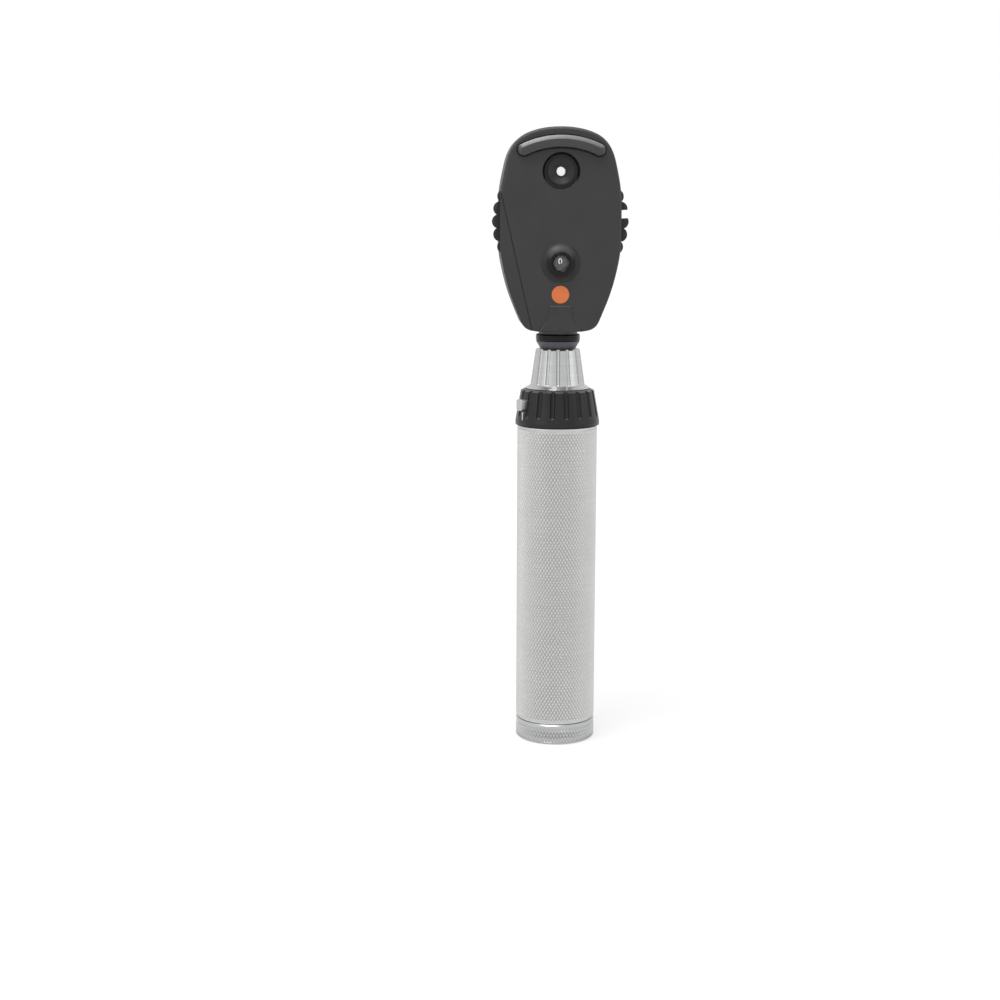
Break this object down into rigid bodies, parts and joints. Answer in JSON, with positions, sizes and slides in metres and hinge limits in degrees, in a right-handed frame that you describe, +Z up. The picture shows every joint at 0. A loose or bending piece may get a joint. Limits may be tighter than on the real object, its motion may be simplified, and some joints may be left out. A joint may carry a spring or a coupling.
{
  "type": "direct ophthalmoscope",
  "caption": "Hand-held direct ophthalmoscope: oval examination head with lens wheel, plugged into a knurled rechargeable battery handle with a dimmer ring.",
  "frame": {"origin": "centre of the foot's bottom face, at the mouth of the charging socket, on the handle's axis", "axes": "+Z up along the handle, the examiner's side faces -Y, the patient's side +Y"},
  "size_m": [0.05, 0.0353, 0.2303],
  "materials": {
    "knurled_aluminium": "satin, diamond knurled",
    "satin_aluminium": "satin",
    "battery_wrap": "shrink wrap",
    "black_plastic": "fine matt",
    "white_plastic": "matt",
    "brass": "plain",
    "spring_steel": "bright wire",
    "track_carbon": "printed carbon",
    "black_rubber": "matt",
    "ring_plastic": "satin",
    "white_paint": "printed line",
    "plug_metal": "black anodised, satin",
    "gloss_black": "gloss",
    "lamp_lens": "clear over yellow phosphor",
    "head_plastic": "fine matt moulding",
    "soft_rest": "soft satin",
    "inlay": "plain orange disc",
    "glass": "coated",
    "green_glass": "dyed green",
    "screw_steel": "zinc plated",
    "cast_alloy": "die cast, as cast",
    "mirror_coat": "front silvered",
    "wheel_rubber": "satin grip",
    "number_film": "printed band with plain numbers"
  },
  "bodies": {
    "handle": {"grip_tube": "knurled_aluminium", "battery_cell": "battery_wrap", "battery_sleeve": "battery_wrap", "handle_hub": "black_plastic", "top_contact": "brass", "contact_bush": "white_plastic", "contact_spring": "spring_steel", "resistance_track": "track_carbon", "coupling_cone": "satin_aluminium", "socket_washer": "black_plastic"},
    "spring_carrier": {"battery_spring": "spring_steel", "spring_plate": "brass"},
    "end_cap": {"end_cap": "satin_aluminium", "cap_seal_ring": "black_rubber", "charging_insert": "black_plastic", "charging_contact": "brass"},
    "contact_pin": {"contact_pin": "brass"},
    "rheostat_ring": {"rheostat_ring": "ring_plastic", "button_spring": "spring_steel", "wiper": "brass", "index_mark": "white_paint"},
    "lock_button": {"lock_button": "satin_aluminium"},
    "head": {"head_plug": "plug_metal", "neck_collar": "gloss_black", "lamp_body": "brass", "lamp_insulator": "white_plastic", "lamp_contact": "brass", "lamp_emitter": "lamp_lens", "front_housing": "head_plastic", "rear_housing": "head_plastic", "orbital_rest": "soft_rest", "front_inlay": "inlay", "sight_ring": "ring_plastic", "sight_window": "glass", "display_bezel": "gloss_black", "display_magnifier": "glass", "window_gasket": "black_rubber", "rear_window": "glass", "housing_screws": "screw_steel", "optics_frame": "cast_alloy", "frame_screws": "screw_steel", "condenser_lens": "glass", "condenser_ring": "plug_metal", "projection_lens": "glass", "projection_ring": "plug_metal", "mirror": "mirror_coat", "mirror_block": "black_plastic", "wheel_axle": "screw_steel", "detent_ball": "screw_steel", "detent_spring": "spring_steel", "aperture_axle": "screw_steel"},
    "lens_wheel": {"lens_wheel": "wheel_rubber", "dioptre_ring": "number_film", "correction_lenses": "glass"},
    "aperture_wheel": {"aperture_wheel": "wheel_rubber"},
    "filter_slide": {"filter_slide": "black_plastic", "red_free_filter": "green_glass", "filter_knob": "wheel_rubber"}
  },
  "joints": [
    {"name": "head_lifts_off", "type": "slide", "parent": "handle", "child": "head", "axis": [0, 0, 1], "range_m": [0, 0.016]},
    {"name": "lens_wheel_turns", "type": "hinge", "parent": "head", "child": "lens_wheel", "pos_m": [0, -0.00705, 0.1963], "axis": [0, 1, 0], "continuous": true},
    {"name": "aperture_wheel_turns", "type": "hinge", "parent": "head", "child": "aperture_wheel", "pos_m": [0, 0.008, 0.1801], "axis": [0, 0, 1], "continuous": true},
    {"name": "filter_slides_in", "type": "slide", "parent": "head", "child": "filter_slide", "axis": [1, 0, 0], "range_m": [0, 0.0075]},
    {"name": "rheostat_ring_turns", "type": "hinge", "parent": "handle", "child": "rheostat_ring", "pos_m": [0, 0, 0.1211], "axis": [0, 0, 1], "range_deg": [0, 270]},
    {"name": "lock_button_presses", "type": "slide", "parent": "rheostat_ring", "child": "lock_button", "axis": [0.8746, 0.4848, 0], "range_m": [0, 0.0008], "stiffness_N_per_m": 600, "springref_m": -0.001, "deforming": ["button_spring"]},
    {"name": "contact_pin_springs", "type": "slide", "parent": "handle", "child": "contact_pin", "axis": [0, 0, -1], "range_m": [0, 0.0008], "stiffness_N_per_m": 600, "springref_m": -0.001, "deforming": ["contact_spring"]},
    {"name": "end_cap_travels", "type": "slide", "parent": "handle", "child": "spring_carrier", "axis": [0, 0, -1], "range_m": [0, 0.008], "deforming": ["battery_spring"]},
    {"name": "end_cap_unscrews", "type": "hinge", "parent": "spring_carrier", "child": "end_cap", "pos_m": [0, 0, 0], "axis": [0, 0, -1], "range_deg": [0, 1440]}
  ],
  "couplings": [
    {"joint": "end_cap_unscrews", "follows": "end_cap_travels", "rad_per_m": 3141.5}
  ]
}
